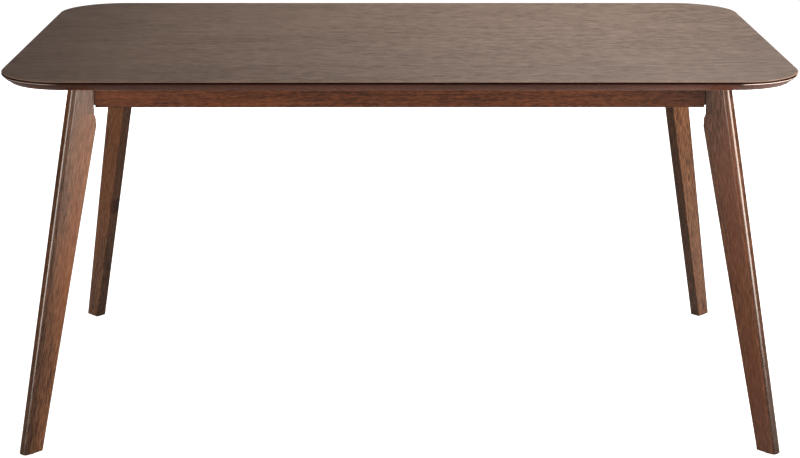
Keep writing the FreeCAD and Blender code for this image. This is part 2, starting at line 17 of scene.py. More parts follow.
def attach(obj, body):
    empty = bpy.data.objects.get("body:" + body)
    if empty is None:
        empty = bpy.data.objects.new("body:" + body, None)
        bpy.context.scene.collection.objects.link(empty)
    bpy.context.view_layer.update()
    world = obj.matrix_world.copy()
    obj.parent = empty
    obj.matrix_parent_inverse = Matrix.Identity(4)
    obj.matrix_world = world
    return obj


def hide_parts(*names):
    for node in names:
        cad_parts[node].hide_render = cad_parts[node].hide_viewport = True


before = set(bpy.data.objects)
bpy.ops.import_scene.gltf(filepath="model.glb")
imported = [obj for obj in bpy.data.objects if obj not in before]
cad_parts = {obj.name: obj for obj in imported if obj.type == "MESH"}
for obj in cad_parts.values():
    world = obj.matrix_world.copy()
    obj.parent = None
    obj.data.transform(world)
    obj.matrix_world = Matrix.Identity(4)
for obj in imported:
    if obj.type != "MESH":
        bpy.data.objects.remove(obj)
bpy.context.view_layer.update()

# %% [markdown]
# ## The sizes
# The new surfaces follow the same drawing as the solids, so its sizes are repeated here, in
# metres. Insets are distances inwards from the outline of the top.

# %% Sizes of the top
half_length = 0.75
half_width = 0.45
top_height = 0.74
core_top = 0.7394
core_bottom = 0.7216
corner_radius = 0.13
lip_width = 0.03
arris_radius = 0.0024
nose_bottom = 0.7345
nose_ease = 0.0008
bevel_depth = 0.015
bevel_radius = 0.06
corner_steps = 48
print("the top is", 2 * half_length, "by", 2 * half_width, "m")

# %% [markdown]
# ## Sheets of points
# A surface here is a sheet: a grid of points, worked out as one array. Neighbouring points make
# the four-sided faces, and a sheet may close on itself like a tube. A piece is one or more sheets
# and flat caps, merged where their points meet. Every piece also keeps a second set of
# coordinates, the grain: how far along the board, across it and through it a point lies. A finish
# that reads the grain follows the wood round a corner, where plain coordinates would cut across.


# %% From sheets to a piece
def sheet_faces(rows, columns, tube):
    """The faces of a grid: each joins a point to the next in its row and the two above them."""
    row = np.arange(rows - 1)[:, None] * columns
    column = np.arange(columns if tube else columns - 1)[None, :]
    following = (column + 1) % columns
    corners = (row + column, row + following, row + columns + following, row + columns + column)
    return np.stack(corners, axis=-1)


def add_object(name, data):
    """An object at the origin, linked to the scene."""
    added = bpy.data.objects.new(name, data)
    bpy.context.scene.collection.objects.link(added)
    return added


def places_of(points, what="co"):
    """Reads the places of all points, or the centres of all faces, as one array."""
    numbers = np.empty(3 * len(points), np.float32)
    points.foreach_get(what, numbers)
    return numbers.reshape(-1, 3)


def keep_vectors(mesh, name, vectors):
    """Gives every point of a mesh a vector of its own, under a name that a material can read."""
    kept = mesh.attributes.new(name, "FLOAT_VECTOR", "POINT")
    kept.data.foreach_set("vector", vectors.astype(np.float32).ravel())


def make_piece(name, sheets, caps, grain_of):
    """Joins sheets (points, tube, openings) and flat caps, and shades the joint smooth up to 28
    degrees. An opening is a block of faces that is left out."""
    points = []
    faces = []
    start = 0
    for grid, tube, openings in sheets:
        rows, columns = grid.shape[:2]
        quads = sheet_faces(rows, columns, tube)
        kept = np.ones(quads.shape[:2], bool)
        for row, column, size in openings:
            kept[row:row + size, column:column + size] = False
        faces.extend((quads[kept] + start).tolist())
        points.append(grid.reshape(-1, 3))
        start += rows * columns
    for ring in caps:
        faces.append(list(range(start, start + len(ring))))
        points.append(ring)
        start += len(ring)
    mesh = bpy.data.meshes.new(name)
    mesh.from_pydata(np.concatenate(points).tolist(), [], faces)
    work = bmesh.new()
    work.from_mesh(mesh)
    bmesh.ops.remove_doubles(work, verts=work.verts, dist=2e-6)
    bmesh.ops.recalc_face_normals(work, faces=work.faces)
    open_edges = sum(not edge.is_manifold for edge in work.edges)
    work.to_mesh(mesh)
    work.free()
    mesh.shade_smooth()
    mesh.set_sharp_from_angle(angle=math.radians(28))
    keep_vectors(mesh, "grain", grain_of(places_of(mesh.vertices)))
    piece = add_object(name, mesh)
    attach(piece, "root")
    print(name, len(mesh.vertices), "points,", open_edges, "open edges")
    return piece


# %% [markdown]
# ## The lipping
# The edge of the top is solid walnut, glued round the board in four straight runs and four
# corners. Its section has a rounded arris, an upright nose, and a bevel that swells slightly and
# runs back under the top, so the top looks thinner than it is. One section, drawn once, is
# carried along each run and round each corner. A curve with this section as its bevel could give
# the same shape, but a mesh that is worked out here also knows which way its grain runs.


# %% The section of the lipping
def arc(centre, radius, first, last, steps):
    """Points on a circle: centre + radius (cos, sin) of an angle that goes from first to last."""
    angle = np.linspace(first, last, steps + 1)
    return np.column_stack((centre[0] + radius * np.cos(angle), centre[1] + radius * np.sin(angle)))


def lip_section():
    """Distances outwards from the nose, and heights, round the section. The bevel's centre lies
    on the perpendicular bisector of its chord, and the small rounding at the nose touches both."""
    start = np.array((-bevel_depth, core_bottom))
    end = np.array((0.0, nose_bottom))
    chord = end - start
    length = np.hypot(*chord)
    inwards = np.array((-chord[1], chord[0])) / length
    centre = (start + end) / 2 + inwards * math.sqrt(bevel_radius ** 2 - length ** 2 / 4)
    across = -nose_ease - centre[0]
    down = math.sqrt((bevel_radius - nose_ease) ** 2 - across ** 2)
    meeting = math.atan2(-down, across)
    first = math.atan2(start[1] - centre[1], start[0] - centre[0])
    round_centre = (-arris_radius, top_height - arris_radius)
    upper = math.asin((core_top - round_centre[1]) / arris_radius)
    support = 0.0002
    return np.concatenate((
        [(-lip_width, core_bottom)],
        arc(centre, bevel_radius, first, meeting, 14),
        arc((-nose_ease, centre[1] - down), nose_ease, meeting, 0, 6)[1:],
        [(0, centre[1] - down + support), (0, round_centre[1] - support)],
        arc(round_centre, arris_radius, 0, upper, 8),
        [(-lip_width, core_top)],
    ))


section = lip_section()
print("the section of the lipping has", len(section), "points")


# %% Straight runs and corners
def carried(centres, outwards, reach):
    """Carries the section along a path: point = centre + outwards (reach + distance)."""
    distance = reach + section[None, :, 0, None]
    flat = centres[:, None, :] + outwards[:, None, :] * distance
    height = np.broadcast_to(section[None, :, 1, None], flat.shape[:2] + (1,))
    return np.concatenate((flat, height), axis=2)


def lip(name, centres, outwards, reach, grain_of):
    """One length of lipping: the carried section as a tube, with a flat cap at each end."""
    grid = carried(centres, outwards, reach)
    piece = make_piece("edge_" + name, [(grid, True, ())], [grid[0], grid[-1]], grain_of)
    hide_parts("lip_" + name)
    return piece


def straight_grain(along, across, offset):
    """Grain of a straight run: its own direction, then outwards, then height. The offset starts
    the grain of each length somewhere else, so that no two look alike."""
    def grain_of(places):
        flat = places[:, :2]
        return np.column_stack((flat @ along + offset, flat @ across, places[:, 2]))
    return grain_of


def bent_grain(centre, offset):
    """Grain of a corner: the length of the arc from its middle, then the distance from its centre,
    then height. The angle is taken from the corner's own diagonal, so it never jumps."""
    diagonal = np.sign(centre) / math.sqrt(2)

    def grain_of(places):
        flat = places[:, :2] - centre
        turn = np.arctan2(diagonal[0] * flat[:, 1] - diagonal[1] * flat[:, 0], flat @ diagonal)
        return np.column_stack((turn * corner_radius + offset, np.hypot(*flat.T), places[:, 2]))
    return grain_of


edges = []
for number, (name, turn, reach, run) in enumerate((
        ("right", 0, half_length, half_width - corner_radius),
        ("back", 90, half_width, half_length - corner_radius),
        ("left", 180, half_length, half_width - corner_radius),
        ("front", 270, half_width, half_length - corner_radius))):
    angle = math.radians(turn)
    outwards = np.array((round(math.cos(angle)), round(math.sin(angle))), float)
    along = np.array((-outwards[1], outwards[0]))
    stations = np.linspace(-run, run, 9)[:, None] * along
    directions = np.broadcast_to(outwards, stations.shape)
    grain = straight_grain(along, outwards, 3.1 * number)
    edges.append(lip(name, stations, directions, reach, grain))

corner_places = (
    ("back_right", 1, 1, 0),
    ("back_left", -1, 1, 90),
    ("front_left", -1, -1, 180),
    ("front_right", 1, -1, 270),
)
corner_grain = {name: 20 + 2.3 * number for number, (name, *place) in enumerate(corner_places)}
for name, across, back, turn in corner_places:
    angle = np.radians(turn + np.linspace(0, 90, corner_steps + 1))
    directions = np.column_stack((np.cos(angle), np.sin(angle)))
    centre = np.array((across * (half_length - corner_radius), back * (half_width - corner_radius)))
    centres = np.broadcast_to(centre, directions.shape)
    grain = bent_grain(centre, corner_grain[name])
    edges.append(lip("corner_" + name, centres, directions, corner_radius, grain))

# %% [markdown]
# ## The face veneer
# The walnut veneer covers board and lipping, and the rounding of the arris is sanded through its
# edge, so the veneer ends as a thin feather on the curve. Its sheet is a set of rings, each a
# rounded rectangle, that follow the arris up and then lie flat. A flat plate with a Bevel modifier
# would be quicker, but its edge wouldn't end on the lipping's own curve.


# %% Rings of a rounded rectangle
def ring(inset, height):
    """A rounded rectangle: the centre of each corner, plus the rest of the radius all round it."""
    rings = []
    for name, across, back, turn in corner_places:
        angle = np.radians(turn + np.linspace(0, 90, corner_steps + 1))
        x = across * (half_length - corner_radius) + (corner_radius - inset) * np.cos(angle)
        y = back * (half_width - corner_radius) + (corner_radius - inset) * np.sin(angle)
        rings.append(np.column_stack((x, y, np.full(len(x), height))))
    return np.concatenate(rings)


def face_sheet():
    """Rings from the height of the core up the arris, which is an arc of inset and height, and then
    flat, as far in as the centres of the corners."""
    support = 0.0004
    centre = (arris_radius, top_height - arris_radius)
    upper = math.asin((core_top - centre[1]) / arris_radius)
    feather = arc(centre, arris_radius, math.pi - upper, math.pi / 2, 8)
    flat = ((arris_radius + support, top_height), (corner_radius, top_height))
    return np.stack([ring(inset, height) for inset, height in (*feather, *flat)])


face = face_sheet()
middle = np.array([
    (across * (half_length - corner_radius), back * (half_width - corner_radius), top_height)
    for name, across, back, turn in corner_places])
top_face = make_piece("top_face", [(face, True, ())], [face[0], middle], lambda places: places)
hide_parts("face_veneer")

# %% [markdown]
# ## The legs
# Each leg is a board on edge, set on the diagonal of its corner. Its outer edge leans outwards
# and is rounded over on both sides. The inner edge stands upright where it meets the corner
# block, steps out at the knee and then tapers to the foot. A leg is worked out as a stack of
# level sections, so one formula gives the whole skin: how far out the two edges are at a height,
# and where each column of points sits between them. A box with moved corners and a Bevel modifier
# would come close, but the formula keeps the rounding a true circle on the leaning edge, and
# leaves a square cell open round each bolt hole.

# %% Sizes of the legs
leg_half = 0.012
leg_round = 0.009
leg_ease = 0.0012
leg_reach = 0.200088
leg_top_width = 0.041
leg_top = 0.721
foot_bottom = 0.0015
foot_width = 0.042
foot_inset = 0.016
seat_bottom = 0.648
knee_top = 0.638
knee_bottom = 0.622
knee_step = 0.004
glide_radius = 0.010
glide_recess = 0.0015
bolt_heights = (0.678, 0.706)
insert_radius = 0.005
insert_depth = 0.021
hole_cell = 0.009
pair_gap = 0.0006
inner_heights = (foot_bottom, knee_bottom, knee_top, seat_bottom, leg_top)
inner_places = (-foot_width, -leg_reach - knee_step, -leg_reach - knee_step, -leg_reach, -leg_reach)
outer_run = (leg_reach - leg_top_width) / (leg_top - foot_bottom)
lean = math.atan(outer_run)
print("the legs lean", round(math.degrees(lean), 1), "degrees")


# %% The skin of a leg
def leg_columns():
    """One line for each column of points, in order round the section: 1 for the outer edge or 0
    for the inner one, the side, and what part of the rounding lies between it and the corner,
    inwards from the edge and inwards from the side, then fixed distances."""
    face_support = 0.0006
    edge_support = 0.0004
    quarter = np.linspace(0, math.pi / 2, 11)
    ease = np.linspace(0, math.pi / 2, 5)
    columns = [(1, 1, 0, 1, 0, face_support)]
    columns += [(1, 1, 1 - math.cos(turn), 1 - math.sin(turn), 0, 0) for turn in quarter]
    columns += [(1, 1, 1, 0, face_support, 0), (0, 1, 1, 0, edge_support, 0)]
    columns += [(0, 1, 1 - math.sin(turn), 1 - math.cos(turn), 0, 0) for turn in ease]
    near_side = np.array(columns)
    return near_side, near_side[::-1] * np.array((1, -1, 1, 1, 1, 1))


def leg_sections(height, shrink):
    """Points of the leg's level sections, in its own frame: X outwards, Y across, Z up. The edge
    lines are straight between their corners. Rounded corners are circles across the leaning edge,
    so they are longer by 1 / cos(lean) in a level section. The foot shrinks as it rounds off."""
    outer = -outer_run * (height - foot_bottom) - shrink
    inner = np.interp(height, inner_heights, inner_places) + shrink
    ease = np.where(height < seat_bottom - pair_gap / 2, leg_ease, 0) - shrink
    near, far = leg_columns()

    def half(columns):
        """Edge + part of the rounding + fixed distance, for one side's columns at every height."""
        edge, side, x_part, y_part, x_fixed, y_fixed = columns.T
        radius = np.where(edge > 0, leg_round - shrink[:, None], np.maximum(ease, 0)[:, None])
        inwards = x_part * radius * np.where(edge > 0, 1 / math.cos(lean), 1) + x_fixed
        x = np.where(edge > 0, outer[:, None] - inwards, inner[:, None] + inwards)
        y = side * (leg_half - shrink[:, None] - y_part * radius - y_fixed)
        return x, y

    near_x, near_y = half(near)
    far_x, far_y = half(far)
    steps = np.array((1, 0.5, 0, -0.5, -1)) * hole_cell
    flat_y = np.broadcast_to(steps, (len(height), len(steps)))
    flat_x = np.broadcast_to(inner[:, None], flat_y.shape)
    x = np.concatenate((near_x, flat_x, far_x), axis=1)
    y = np.concatenate((near_y, flat_y, far_y), axis=1)
    z = np.broadcast_to(height[:, None], x.shape)
    return np.stack((x, y, z), axis=2)


# %% Heights, the foot and the bolt holes
def leg_heights():
    """Heights of the sections, and how much each shrinks: the foot's rounding, then close pairs
    beside the corners of the inner edge, then a grid round each bolt hole."""
    foot_support = 0.0005
    turn = np.linspace(0, math.pi / 2, 6)
    foot = foot_bottom + leg_ease * (1 - np.cos(turn))
    plain = [foot_bottom + leg_ease + foot_support, 0.1, 0.25, 0.4, 0.55]
    pairs = [knee_bottom - pair_gap, knee_bottom + pair_gap, knee_top - pair_gap, knee_top + pair_gap]
    seat = [seat_bottom - pair_gap, seat_bottom, seat_bottom + 0.010]
    holes = [bolt + step * hole_cell for bolt in bolt_heights for step in (-1, -0.5, 0, 0.5, 1)]
    rest = np.array(plain + pairs + seat + holes + [leg_top])
    return np.concatenate((foot, rest)), np.concatenate((leg_ease * (1 - np.sin(turn)), 0 * rest))


def foot_sheet(outline):
    """The underside of the foot: from the outline to the recess of the glide, whose points lie
    in the same directions from its middle, then up its wall."""
    middle = np.array((-foot_width / 2, 0))
    away = outline[:, :2] - middle
    circle = middle + glide_radius * away / np.hypot(*away.T)[:, None]
    level = np.full((len(outline), 1), foot_bottom)
    return np.stack((outline, np.hstack((circle, level)), np.hstack((circle, level + glide_recess))))


def hole_sheet(bolt):
    """From the square cell round a bolt hole to its circle, and down its wall."""
    steps = np.array((-1, -0.5, 0, 0.5))
    side = np.concatenate((steps, np.ones(4), -steps, -np.ones(4)))
    up = np.concatenate((-np.ones(4), steps, np.ones(4), -steps))
    square = np.column_stack((side, up)) * hole_cell
    circle = np.column_stack((side, up)) / np.hypot(side, up)[:, None] * insert_radius
    rings = []
    for flat, depth in ((square, 0), (circle, 0), (circle, insert_depth)):
        outwards = np.full(len(flat), depth - leg_reach)
        rings.append(np.column_stack((outwards, flat[:, 0], flat[:, 1] + bolt)))
    return np.stack(rings)


# %% Put the skin together
def nearest(distances):
    """The number of the smallest distance in a row of them."""
    return int(np.argmin(np.abs(distances)))


heights, shrinks = leg_heights()
skin = leg_sections(heights, shrinks)
foot = foot_sheet(skin[0])
holes = [hole_sheet(bolt) for bolt in bolt_heights]
cell_corner = np.array((-leg_reach, hole_cell))
first_flat = nearest(np.abs(skin[-1, :, :2] - cell_corner).sum(axis=1))
openings = [(nearest(heights - bolt + hole_cell), first_flat, 4) for bolt in bolt_heights]
print("the skin of a leg is", skin.shape, "with holes at", openings)


# %% Four legs
def leg_grain(offset):
    """Grain of a leg: along the leaning outer edge, across the board, and through it."""
    def grain_of(places):
        along = places[:, 2] * math.cos(lean) - places[:, 0] * math.sin(lean)
        across = places[:, 0] * math.cos(lean) + places[:, 2] * math.sin(lean)
        return np.column_stack((along + offset, across, places[:, 1]))
    return grain_of


def leg_painted_shading(places, shading_by_height, edge_depth, outer_edge, inner_edge):
    """Painted light and shade on a leg: a factor on the wood's colour. Down the face it runs straight
    between the amounts given from the foot up, which make each leg lighter or darker as the lamps
    fall on it, and across it gets darker towards the inner edge, as painted shade. The rounded outer
    edge, as deep as given, is darker, partly an edge toner and partly painted shade set leg by leg,
    and the inner edge is darker again as painted shade."""
    fade = 0.003
    outer_lift = 1.1
    darker_a_metre = 4.5
    darker_until = 0.06
    ease_share = 0.6
    x = places[:, 0]
    z = places[:, 2]
    levels = np.linspace(0, leg_top, len(shading_by_height))
    # painted light and shade down the face, set leg by leg
    face = np.interp(z, levels, shading_by_height)
    edge = np.interp(z, levels, outer_edge)
    from_outer = -(x * math.cos(lean) + z * math.sin(lean))
    # the rounded outer edge: partly an edge toner, partly painted shade
    rounding = np.clip((edge_depth - from_outer) / fade, 0, 1)
    # the inner edge: painted shade
    inner = x < np.interp(z, inner_heights, inner_places) + leg_ease * ease_share
    across = outer_lift - darker_a_metre * np.clip(from_outer, 0, darker_until)
    return face * across * (1 - rounding * (1 - edge)) * np.where(inner, inner_edge, 1)


leg_offset = {"front_left": 0.0, "front_right": 2.7, "back_left": 5.3, "back_right": 8.1}


def leg(name, across, back, shading_by_height, edge_depth, outer_edge, inner_edge, tint):
    """Turns the skin onto a corner's diagonal: a rotation about the upright axis, then a shift. The
    grain of every leg starts somewhere else, at its offset. The tint colours the painted light and
    shade."""
    turn = math.atan2(back, across)
    corner = np.array((across * (half_length - foot_inset), back * (half_width - foot_inset), 0))
    cosine = math.cos(turn)
    sine = math.sin(turn)
    turned = np.array(((cosine, sine, 0), (-sine, cosine, 0), (0, 0, 1)))

    def placed(points):
        return points @ turned + corner

    def grain_of(places):
        return leg_grain(leg_offset[name])((places - corner) @ turned.T)

    sheets = [(placed(skin), True, openings), (placed(foot), True, ())]
    sheets += [(placed(hole), True, ()) for hole in holes]
    caps = [placed(skin[-1]), placed(foot[-1])] + [placed(hole[-1]) for hole in holes]
    piece = make_piece("board_leg_" + name, sheets, caps, grain_of)
    local = (places_of(piece.data.vertices) - corner) @ turned.T
    # painted light and shade of this leg, kept for its finish to multiply by
    colour_share = leg_painted_shading(local, shading_by_height, edge_depth, outer_edge, inner_edge)
    keep_vectors(piece.data, "colour_factor", colour_share[:, None] * np.array(tint))
    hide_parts("leg_" + name)
    return piece


# Each leg gets its own painted light and shade and tint, set to how the lamps fall on it.
legs = [
    leg("front_left", -1, -1, shading_by_height=(0.74, 0.93, 1.15, 1.00), edge_depth=0.0115,
        outer_edge=(0.3, 0.3, 0.3, 0.35), inner_edge=0.6, tint=(1.03, 0.98, 0.93)),
    leg("front_right", 1, -1, shading_by_height=(0.46, 0.67, 0.74, 0.70), edge_depth=0.0058,
        outer_edge=(0.18, 0.24, 0.38, 0.46), inner_edge=0.6, tint=(1.06, 0.87, 0.76)),
    leg("back_left", -1, 1, shading_by_height=(0.82, 0.88, 0.90, 1.12), edge_depth=0.0115,
        outer_edge=(0.8, 0.8, 0.8, 0.8), inner_edge=0.34, tint=(1.0, 1.04, 1.08)),
    leg("back_right", 1, 1, shading_by_height=(0.64, 0.66, 0.71, 0.87), edge_depth=0.0115,
        outer_edge=(0.8, 0.8, 0.8, 0.8), inner_edge=0.58, tint=(1.0, 1.0, 1.0)),
]

# %% [markdown]
# ## Arithmetic for finishes
# A finish is a net of shader nodes. Written out one by one, even a short formula takes a page, so
# a small class stands for one socket and adds a Math node whenever it meets a sign of arithmetic.
# Every other node comes from a single method, which sets the node's options first and then its
# inputs.


# %% A socket that can be reckoned with
class Reading:
    """What one socket of a node gives at each point of a surface."""

    def __init__(self, net, socket=None):
        self.net = net
        self.socket = socket

    def node(self, kind, settings, inputs, output=0):
        """Adds a node of a kind, sets its options, then its inputs, and reads one output. Sockets
        go by their names, or by their numbers where a node has two of one name."""
        added = self.net.nodes.new("ShaderNode" + kind)
        for setting, choice in settings.items():
            setattr(added, setting, choice)
        for place, given in inputs.items():
            if isinstance(given, Reading):
                self.net.links.new(given.socket, added.inputs[place])
            else:
                added.inputs[place].default_value = given
        return Reading(self.net, added.outputs[output])

    def maths(self, operation, *numbers):
        """Adds a Math node on readings or plain numbers."""
        return self.node("Math", {"operation": operation}, dict(enumerate(numbers)))

    def __add__(self, other):
        return self.maths("ADD", self, other)

    def __sub__(self, other):
        return self.maths("SUBTRACT", self, other)

    def __rsub__(self, other):
        return self.maths("SUBTRACT", other, self)

    def __mul__(self, other):
        return self.maths("MULTIPLY", self, other)

    def __truediv__(self, other):
        return self.maths("DIVIDE", self, other)

    def __pow__(self, other):
        return self.maths("POWER", self, other)

    def __abs__(self):
        return self.maths("ABSOLUTE", self)

    __radd__ = __add__
    __rmul__ = __mul__

    def fraction(self):
        """What is left above the whole number below."""
        return self.maths("FRACT", self)

    def or_more(self, other):
        """The greater of the two readings."""
        return self.maths("MAXIMUM", self, other)

    def within(self, low, high, smooth=True):
        """Rises from 0 at low to 1 at high, and stays there."""
        settings = {"interpolation_type": "SMOOTHSTEP" if smooth else "LINEAR"}
        return self.node("MapRange", settings, {0: self, 1: low, 2: high, 3: 0.0, 4: 1.0})

    def blend(self, first, second):
        """Mixes two colours by this reading."""
        return self.node("Mix", {"data_type": "RGBA"}, {0: self, 6: first, 7: second}, output=2)


def colour(red, green, blue):
    """A colour from a paint chart, 0 to 255 a channel, as the shader's linear light."""
    channels = [channel / 255 for channel in (red, green, blue)]
    linear = [c / 12.92 if c <= 0.04045 else ((c + 0.055) / 1.055) ** 2.4 for c in channels]
    return (*linear, 1.0)


def start_finish(name):
    """An empty material and a reading that adds nodes to it."""
    material = bpy.data.materials.new(name)
    material.use_nodes = True
    material.node_tree.nodes.clear()
    return material, Reading(material.node_tree)


def show(tree, shader, kind="Material"):
    """Closes a net: the shader goes to the output."""
    output = tree.net.nodes.new("ShaderNodeOutput" + kind)
    tree.net.links.new(shader.socket, output.inputs["Surface"])


def end_finish(tree, inputs):
    """Closes a net with one Principled shader."""
    show(tree, tree.node("BsdfPrincipled", {}, inputs))


# %% [markdown]
# ## Walnut
# Wood is a bundle of tubes laid down in rings round the pith. Its look comes from five things at
# five scales: the rings, cut by the saw at a flat angle, the slow drift of colour from one part of
# the board to another, the figure, soft streaks as long as a hand, the flecks, finer and shorter
# streaks, and the pores, short dark dashes. Each is a function of the grain coordinates, much
# stretched along the board. Pictures of wood could be wrapped round the pieces instead, but they
# would repeat, and show seams at the edges.


# %% The pattern of a board
def stretched(tree, grain, along, across, seed=0.0):
    """The grain with its length and width scaled, shifted so that no two patterns agree."""
    scaled = tree.node("VectorMath", {"operation": "MULTIPLY"}, {0: grain, 1: (along, across, across)})
    return tree.node("VectorMath", {"operation": "ADD"}, {0: scaled, 1: (seed, 0.7 * seed, 1.3 * seed)})


def noise(tree, place, detail=2.0, roughness=0.5, scale=1.0):
    """Soft noise from 0 to 1. Each finer layer, as many as the detail, is weaker by the roughness."""
    inputs = {"Vector": place, "Scale": scale, "Detail": detail, "Roughness": roughness}
    return tree.node("TexNoise", {}, inputs)


def parts(tree, grain):
    """The three readings of a place: X, Y and Z, or along the grain, across it and through."""
    split = tree.node("SeparateXYZ", {}, {"Vector": grain})
    return [Reading(tree.net, output) for output in split.socket.node.outputs]


def board_pattern(tree, grain, pith, ring_gap, figure_size, fleck_size, seed):
    """The five parts of the pattern, each from 0 to 1: rings, drift, figure, flecks and pores.
    Their sizes count the waves in a metre, along the grain and across it."""
    wander = noise(tree, stretched(tree, grain, 2.2, 16.0, seed)) - 0.5
    along, across, through = parts(tree, grain)
    side = across - pith[0] + along * 0.025 + wander * 0.03
    depth = through - pith[1]
    distance = (side * side + depth * depth) ** 0.5
    phase = distance / ring_gap + wander * 4.0
    tooth = phase.fraction()
    rings = tooth.within(0.25, 0.9) * (1 - tooth.within(0.88, 1.0))
    drift = noise(tree, stretched(tree, grain, 2.4, 14.0, seed + 3.0), 3.0).within(0.3, 0.7)
    figure = noise(tree, stretched(tree, grain, *figure_size, seed + 5.0), 3.0, 0.6).within(0.3, 0.7)
    flecks = noise(tree, stretched(tree, grain, *fleck_size, seed + 7.0), 2.0, 0.6).within(0.3, 0.7)
    pores = noise(tree, stretched(tree, grain, 110.0, 2600.0, seed + 9.0), 1.0).within(0.62, 0.74)
    return rings, drift, figure, flecks, pores


# %% A lacquered board
def board_finish(name, grain, dark, pale, warm, seed, amounts, pith=(0.05, 0.09), ring_gap=0.007,
                 figure_size=(12.0, 110.0), fleck_size=(45.0, 520.0), warmth=0.5, roughness=0.4,
                 relief=0.15, shine=0.5, colour_factor=None, marks=None, overlay=None):
    """A lacquered board: pale to dark by rings, drift, figure and flecks, in the amounts given,
    warmer where the drift is high. The pores are darker and duller. Marks are added to the depth of
    colour, a colour factor multiplies the colour, and an overlay is a mask and a colour laid over
    the wood. On the legs, the lipping and the long aprons the factor is painted light and shade, and
    the lipping's overlay is painted shade and a painted highlight."""
    material, tree = start_finish(name)
    place = grain(tree)
    pattern = board_pattern(tree, place, pith, ring_gap, figure_size, fleck_size, seed)
    rings, drift, figure, flecks, pores = pattern
    depth = (rings - 0.5) * amounts[0] + (0.5 - drift) * amounts[1]
    depth = depth + (0.5 - figure) * amounts[2] + (0.5 - flecks) * amounts[3] + 0.5
    if marks:
        depth = depth + marks(tree, place)
    wood = depth.within(0.0, 1.0, False).blend(pale, dark)
    wood = (drift.within(0.4, 0.9) * warmth).blend(wood, warm)
    wood = (pores * 0.4).blend(wood, (*(channel * 0.4 for channel in dark[:3]), 1.0))
    if colour_factor:
        wood = tree.node("VectorMath", {"operation": "MULTIPLY"}, {0: wood, 1: colour_factor(tree)})
    if overlay:
        mask, over = overlay(tree, place)
        wood = mask.blend(wood, over)
    dullness = roughness + (flecks - 0.5) * 0.08 + pores * 0.12
    height = flecks * 0.5 - pores
    normal = tree.node("Bump", {}, {"Strength": relief, "Distance": 0.0003, "Height": height})
    end_finish(tree, {"Base Color": wood, "Roughness": dullness, "Normal": normal,
                      "Specular IOR Level": shine})
    return material


# %% Grain and colour factors
def from_attribute(tree):
    """Grain of a piece that was made here."""
    return tree.node("Attribute", {"attribute_name": "grain"}, {}, output="Vector")


def own_place(tree):
    """Object coordinates, which are metres in the table's own frame."""
    return tree.node("TexCoord", {}, {}, output="Object")


def from_object(turn):
    """Grain of a piece that keeps the model's own mesh: object coordinates, turned about Z."""
    def grain(tree):
        turned = {"Vector": own_place(tree), "Rotation": (0.0, 0.0, math.radians(turn))}
        return tree.node("Mapping", {}, turned)
    return grain


def leg_shading_reading(tree):
    """The painted light and shade of the legs, worked out above."""
    return tree.node("Attribute", {"attribute_name": "colour_factor"}, {}, output="Vector")


def darkened_along(clear, dense, share):
    """Darker along the table: not at all at X = clear, by its whole share at X = dense. On the
    lipping and the long aprons this is painted shade.
    """
    def colour_share(tree):
        x = parts(tree, from_object(0)(tree))[0]
        return 1 - x.within(clear, dense) * share
    return colour_share


def darker_ends(tree):
    """The face is a little darker at both ends."""
    return darkened_along(0.45, 0.74, 0.2)(tree) * darkened_along(-0.45, -0.75, 0.2)(tree)


# %% [markdown]
# ## Marks of single boards
# No two boards are alike. One front leg is made up of two lengths with a finger joint, and the
# back legs have a knot each. The edge of the top carries painted shade on its nose and a painted
# highlight at its front corners. Each mark is a mask worked out from the grain coordinates, so it
# keeps its place on the board and stays sharp from close by. Marks could also be painted on a
# picture, but then every board needs one.


# %% Knots and a joint
def knot(along, across, centre, size):
    """A knot: dark within its size and paler in a rim round it. It is three times as long as wide."""
    down = (along - centre[0]) / 3.0
    side = across - centre[1]
    distance = (down * down + side * side) ** 0.5
    core = 1 - distance.within(size * 0.4, size)
    rim = distance.within(size * 0.7, size) * (1 - distance.within(size, size * 1.5))
    return core, rim


def leg_marks(tree, place):
    """One leg is made up with a finger joint near its foot. The joint's line steps towards the foot
    and back. Two others have a knot each."""
    along, across, through = parts(tree, place)
    step = across.within(-0.024, -0.016) * 0.010 - across.within(-0.014, -0.008) * 0.006
    line = along - (leg_offset["front_right"] + 0.083) - step
    joint = 1 - abs(line).within(0.0003, 0.0014)
    dark_knot = (leg_offset["back_left"] + 0.3041, -0.0510)
    pale_knot = (leg_offset["back_right"] + 0.3679, -0.0298)
    dark_core, dark_rim = knot(along, across, dark_knot, 0.008)
    pale_core, pale_rim = knot(along, across, pale_knot, 0.005)
    return joint * 0.5 + dark_core * 0.8 - dark_rim * 0.2 + pale_core * 0.25 - pale_rim * 0.5


# %% Painted shade and highlight on the edge
def lip_shade_and_highlight(tree, place):
    """The lipping is coloured like the veneer on its arris. The nose is painted nearly black, as
    painted shade and dark reflection, and this fades into the bevel below. A thin pale line on the
    nose's lower edge at the two front corners is a painted highlight. All are masks by height, and
    the last by length too."""
    along, across, height = parts(tree, place)
    # painted shade: the nose nearly black, fading into the top of the bevel
    nose = height.within(0.7328, 0.7338)
    fading = height.within(0.7265, 0.7336) * 0.4
    over = height.within(0.7380, 0.7388).blend(colour(24, 5, 2), colour(128, 108, 94))
    # painted highlight: a thin pale line on the nose's lower edge near the front corners
    bead = height.within(0.7333, 0.7336) * (1 - height.within(0.7345, 0.7348))
    right = along - (corner_grain["front_right"] - 0.025)
    left = along - (corner_grain["front_left"] + 0.020)
    painted_highlight = 1 - abs(right).within(0.060, 0.078)
    painted_highlight = painted_highlight + (1 - abs(left).within(0.045, 0.085)) * 0.45
    over = (bead * painted_highlight).blend(over, colour(238, 224, 216))
    return (nose * 0.97).or_more(fading), over


